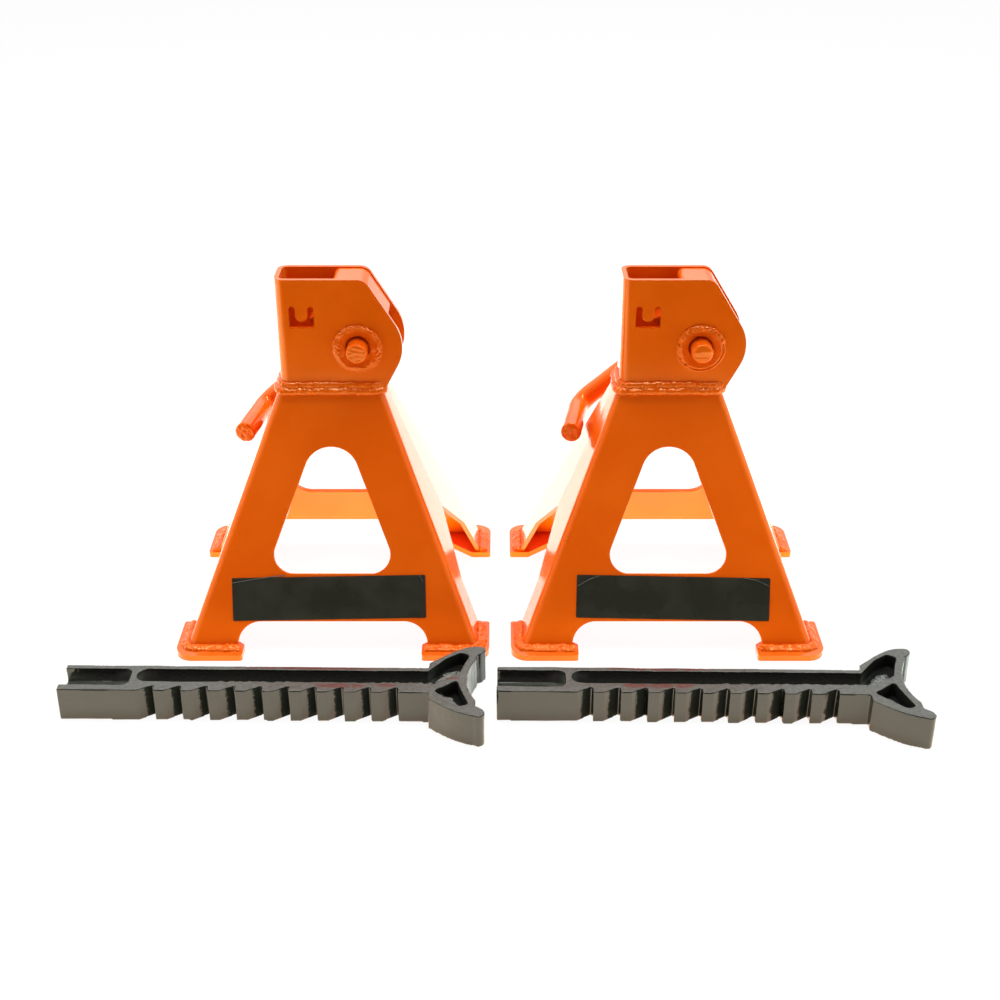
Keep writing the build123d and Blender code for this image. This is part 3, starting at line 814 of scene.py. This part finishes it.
def makeCasting(side, dice):
    # the cast bar: the solid's own shape with softened edges and an uneven skin
    form = bmesh.new()
    form.from_mesh(nodes[side + "_ratchet_bar"].data)
    bmesh.ops.remove_doubles(form, verts=form.verts, dist=mergeGap)
    x, y, yaw = barShape["place"][side]
    place = Matrix.Translation((x, y, 0)) @ Matrix.Rotation(math.radians(yaw), 4, "Z")
    alongBar = Vector((1, 0, 0))
    low, high = castSet["dropSpan"][side]
    for i in range(castSet["drops"]):
        along = dice.uniform(low, high)
        size = dice.uniform(*castSet["dropSize"]) * mm
        spot = Vector((along, castSet["dropLine"] + dice.uniform(*castSet["dropSpread"]) * mm,
                       barShape["thick"] - size * 0.7))
        length = size * dice.uniform(*castSet["dropStretch"])
        addBlob(form, place @ spot, (length, size, size), alongBar)
    for outline, top in zip(castSet["ledges"][side], castSet["ledgeTop"][side]):
        xs, ys = [point[0] for point in outline], [point[1] for point in outline]
        for i in range(castSet["ledgeLumps"]):
            px, py = dice.uniform(min(xs), max(xs)), dice.uniform(min(ys), max(ys))
            if insideOutline(px, py, outline):
                size = dice.uniform(*castSet["lumpSize"]) * mm
                spot = Vector((px * mm, py * mm, top - size * dice.uniform(*castSet["lumpSink"])))
                addBlob(form, place @ spot, (size * 1.2, size, size * 0.8), alongBar)
                under = spot - Vector((0, 0, castSet["lumpDrop"]))
                addBlob(form, place @ under, (size * 1.2, size, size * 1.3), alongBar)
    mesh = bpy.data.meshes.new(side + "Casting")
    form.to_mesh(mesh)
    form.free()
    mesh = bakeModifiers(mesh, [
        ("REMESH", {"mode": "VOXEL", "voxel_size": castSet["voxel"]}),
    ], side + "Casting")
    roughen(mesh, castSet["skin"], dice.random() * 9)
    back = place.inverted()
    inwards = place.to_3x3() @ Vector((0, 1, 0))
    thick, depth, far = barShape["thick"], barShape["toothDepth"], castSet["draftEnd"]
    toothStart, toothEnd = castSet["toothSpan"]
    for vert in mesh.vertices:
        # the notches' draft
        spot = back @ vert.co
        if 0 < spot.y < far and toothStart < spot.x < toothEnd:
            share = spot.y if spot.y < depth else depth * (far - spot.y) / (far - depth)
            slope = 1 - min(1, max(0, spot.z / thick))
            vert.co += inwards * share * barShape["draft"] * slope
    nearEdge, farEdge = castSet["pocketEdges"]
    moves = []
    for vert in mesh.vertices:
        spot = back @ vert.co
        onRim = vert.normal.z > 0.8 and spot.z > thick - castSet["rimDepth"]
        onWall = vert.normal.z < 0.5 and spot.z > castSet["pocketFloor"]
        if onRim or (onWall and nearEdge < spot.y < farEdge):
            rise = noise.noise(vert.co / castSet["crustPitch"]) * castSet["crust"]
            moves.append((vert, vert.normal * rise))
    for vert, move in moves:
        vert.co += move
    piece = solidFrom(mesh, side + "Casting", enamel[side], side + "_bar")
    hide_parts(side + "_ratchet_bar")
    print(side, "casting:", len(mesh.polygons), "faces")


for number, side in enumerate(sides):
    makeCasting(side, random.Random(seeds["bars"] + number))
print("bars cast")


softEdges = {
    "width": 0.45 * mm,
    "sleeveWidth": 0.8 * mm,
    "labelWidth": 0.08 * mm,
    "segments": 2,
    "angle": math.radians(38),
}


def dress(name, material, width):
    item = nodes[name]
    item.data.materials.clear()
    item.data.materials.append(material)
    for face in item.data.polygons:
        face.use_smooth = True
    weld = item.modifiers.new("weld", "WELD")
    weld.merge_threshold = mergeGap
    bevel = item.modifiers.new("bevel", "BEVEL")
    bevel.width = width
    bevel.segments = softEdges["segments"]
    bevel.limit_method = "ANGLE"
    bevel.angle_limit = softEdges["angle"]
    bevel.harden_normals = True
    bevel.use_clamp_overlap = True
    even = item.modifiers.new("even", "WEIGHTED_NORMAL")
    even.keep_sharp = True


for side in sides:
    dress(side + "_frame_rear", thickPaint, softEdges["width"])
    # the pawl takes the darker paint, painted shade inside the sleeve
    dress(side + "_pawl", shadedPawlPaint, softEdges["width"])
    for part in ("frame_front", "guide_strip", "foot_fl", "foot_fr", "foot_rl", "foot_rr"):
        dress(side + "_" + part, paint, softEdges["width"])
    dress(side + "_sleeve", paint, softEdges["sleeveWidth"])
    dress(side + "_label", film, softEdges["labelWidth"])
print("solids dressed")


traceSet = {
    # fine raised lines on the front panels, as x from the stand's middle and height, in mm;
    # a single point is a nib in the paint
    "left": {
        "film": (((-63.3, 42.6), (-52.4, 44.5), (-39.6, 46.2), (-30.1, 47.2)),
                 ((55.7, 47.2), (57.8, 43.3))),
        "paint": (),
    },
    "right": {
        "film": (((-57.3, 40.9), (-50.9, 44.5), (-42.7, 47.4)),
                 ((47.8, 45.6), (56.7, 44.2), (65.1, 40.6))),
        "paint": (((-64.4, 68.7),),),
    },
    "filmRadius": 0.38 * mm,
    "filmOut": 0.30 * mm,
    "paintRadius": 0.75 * mm,
    "pitch": 0.35 * mm,
}


def onPanel(side, x, z, out):
    # a place on the front panel, out of its surface
    return standCentre[side] + Vector((x * mm, -frameHalf(1, z * mm) - out, z * mm))


def makeTrace(side, kind, number, points):
    given = traceSet
    form = bmesh.new()
    if len(points) == 1:
        radius = given["paintRadius"]
        size = (radius, radius * 1.5, radius)
        addBlob(form, onPanel(side, *points[0], 0), size, Vector((0, 0, 1)))
    for (ax, az), (bx, bz) in zip(points, points[1:]):
        count = max(2, round(math.hypot(bx - ax, bz - az) * mm / given["pitch"]))
        for i in range(count):
            share = i / count
            place = onPanel(side, ax + (bx - ax) * share, az + (bz - az) * share, given["filmOut"])
            radius = given["filmRadius"]
            addBlob(form, place, (radius, radius, radius * 0.7), Vector((bx - ax, 0, bz - az)))
    name = side + kind.capitalize() + "Trace" + str(number)
    mesh = bpy.data.meshes.new(name)
    form.to_mesh(mesh)
    form.free()
    solidFrom(mesh, name, film if kind == "film" else paint, side + "_stand")


for side in sides:
    for kind in ("film", "paint"):
        for number, points in enumerate(traceSet[side][kind]):
            makeTrace(side, kind, number, points)
print("small marks made")


floorSet = {
    "size": 8.0,
    "drop": 0.2 * mm,      # how far it lies below the feet
    "colour": rgb(0.86, 0.86, 0.86),
    "darkFrom": -0.17,     # where the light table starts to fade towards the camera
    "darkTo": -0.42,
    "darkColour": rgb(0.02, 0.02, 0.02),
    "seenColour": rgb(0.08, 0.08, 0.08),
    "cameraLift": 0.93,
    "glossTint": rgb(1.0, 0.70, 0.49),
    "glossLift": 2.0,      # what a reflection of the table adds near the bars
    "sideGloss": 0.75,     # and further back
    "bounceTint": rgb(0.85, 1.34, 0.72),
    "bounceLift": 2.2,     # what the table adds to the light from below
    "innerLift": 3.9,      # the same between and behind the legs
    "innerFrom": (-0.01, 0.05),
    "nearBars": (-0.075, -0.105),
}


def makeFloor(given):
    form = bmesh.new()
    bmesh.ops.create_grid(form, x_segments=1, y_segments=1, size=given["size"] / 2)
    mesh = bpy.data.meshes.new("floor")
    form.to_mesh(mesh)
    form.free()
    floor = bpy.data.objects.new("floor", mesh)
    bpy.context.scene.collection.objects.link(floor)
    floor.location.z = -given["drop"]
    material = bpy.data.materials.new("floorCard")
    material.use_nodes = True
    maker = NodeMaker(material.node_tree)
    y = maker.xyz(maker.add("TexCoord", out=3))[1]
    seen = maker.add("LightPath", out="Is Camera Ray")
    glossy = maker.add("LightPath", out="Is Glossy Ray")
    spread = maker.add("LightPath", out="Is Diffuse Ray")
    table = y.step(given["darkTo"], given["darkFrom"])
    colour = maker.blend(table, given["darkColour"], given["colour"])
    colour = maker.blend(seen, colour, given["seenColour"])
    card = maker.add("BsdfDiffuse", sockets={"Color": colour})
    nearBars = y.step(*given["nearBars"])
    gloss = nearBars * (given["glossLift"] - given["sideGloss"]) + given["sideGloss"]
    inner = y.step(*given["innerFrom"])
    bounce = inner * (given["innerLift"] - given["bounceLift"]) + given["bounceLift"]
    lift = seen * given["cameraLift"] + table * (glossy * gloss + spread * bounce)
    tint = maker.blend(spread, rgb(1, 1, 1), given["bounceTint"])
    tint = maker.blend(glossy * nearBars, tint, given["glossTint"])
    glow = maker.add("Emission", sockets={"Color": tint, "Strength": lift})
    both = maker.add("AddShader", sockets={0: card, 1: glow})
    maker.add("OutputMaterial", sockets={"Surface": both})
    mesh.materials.append(material)


worldSet = {
    # brightness, and the directions between which each part comes in
    "front": 0.015,
    "back": 0.72,
    "backFrom": (-0.75, 0.05),
    "overhead": 0.85,
    "overheadFrom": (0.93, 0.99),
    "backGloss": 1.1,
    "backGlossFrom": (0.35, 0.6),
    "backGlossHeight": (0.2, 0.4),
    "sideGloss": 1.0,
    "sideGlossFrom": (0.2, 0.45),
    "sideGlossHeight": (0.05, 0.2),
}


def makeWorld(given):
    world = bpy.data.worlds.new("studio")
    bpy.context.scene.world = world
    world.use_nodes = True
    maker = NodeMaker(world.node_tree)
    x, y, z = maker.xyz(maker.add("TexCoord", out=0))
    seen = maker.add("LightPath", out="Is Camera Ray")
    glossy = maker.add("LightPath", out="Is Glossy Ray")
    # dark towards the camera, pale behind, above and to the sides
    around = y.step(*given["backFrom"]) * given["back"]
    above = z.step(*given["overheadFrom"]) * given["overhead"]
    screen = (glossy * y.step(*given["backGlossFrom"]) * z.step(*given["backGlossHeight"])
              * given["backGloss"])
    beside = (glossy * (x * x).step(*given["sideGlossFrom"]) * z.step(*given["sideGlossHeight"])
              * given["sideGloss"])
    strength = seen.most(given["front"] + around.most(above) + screen.most(beside))
    background = maker.add("Background", sockets={"Color": rgb(1, 1, 1), "Strength": strength})
    maker.add("OutputWorld", sockets={"Surface": background})


lamps = {
    "top": {"place": (0, 0.30, 1.5), "aim": (0, 0, 0.1), "size": (1.6, 0.9), "power": 28,
            "colour": (0.95, 1.06, 0.95), "glossy": False, "diffuse": True},
    "leftBox": {"place": (-1.35, 0.05, 0.75), "aim": (0, 0, 0.1), "size": (0.9, 0.9), "power": 8,
                "colour": (0.85, 1.35, 0.80), "glossy": False, "diffuse": True},
    "rightBox": {"place": (1.35, 0.05, 0.75), "aim": (0, 0, 0.1), "size": (0.9, 0.9), "power": 8,
                 "colour": (0.85, 1.35, 0.80), "glossy": False, "diffuse": True},
    "frontFill": {"place": (0, -1.25, 0.5), "aim": (0, 0, 0.1), "size": (1.4, 0.7), "power": 3.6,
                  "colour": (1.12, 0.86, 0.86), "glossy": False, "diffuse": True},
    # only seen as glints on rounded edges and weld
    "glint": {"place": (0, -0.10, 1.3), "aim": (0, 0, 0.1), "size": (1.1, 0.3), "power": 18,
              "colour": (1, 0.95, 0.86), "glossy": True, "diffuse": False},
}


def makeLamps(given):
    for name, values in given.items():
        lamp = bpy.data.lights.new(name, "AREA")
        lamp.shape = "RECTANGLE"
        lamp.size, lamp.size_y = values["size"]
        lamp.energy = values["power"]
        lamp.color = values["colour"]
        item = bpy.data.objects.new(name, lamp)
        bpy.context.scene.collection.objects.link(item)
        item.location = values["place"]
        back = Vector(values["place"]) - Vector(values["aim"])
        item.rotation_euler = back.to_track_quat("Z", "Y").to_euler()
        item.visible_glossy = values["glossy"]
        item.visible_diffuse = values["diffuse"]


view = {
    "place": (0.0051, -0.8579, 0.5432),
    "down": 27.58,         # degrees below level
    "focal": 55.35,
    "sensor": 36,
    "clip": (0.01, 50),
}


def makeCamera(given):
    camera = bpy.data.cameras.new("camera")
    camera.sensor_width = given["sensor"]
    camera.lens = given["focal"]
    camera.clip_start, camera.clip_end = given["clip"]
    item = bpy.data.objects.new("camera", camera)
    bpy.context.scene.collection.objects.link(item)
    item.location = given["place"]
    item.rotation_euler = (math.radians(90 - given["down"]), 0, 0)
    bpy.context.scene.camera = item


makeFloor(floorSet)
makeWorld(worldSet)
makeLamps(lamps)
makeCamera(view)
bpy.context.scene.view_settings.view_transform = "Standard"
print("stage set")
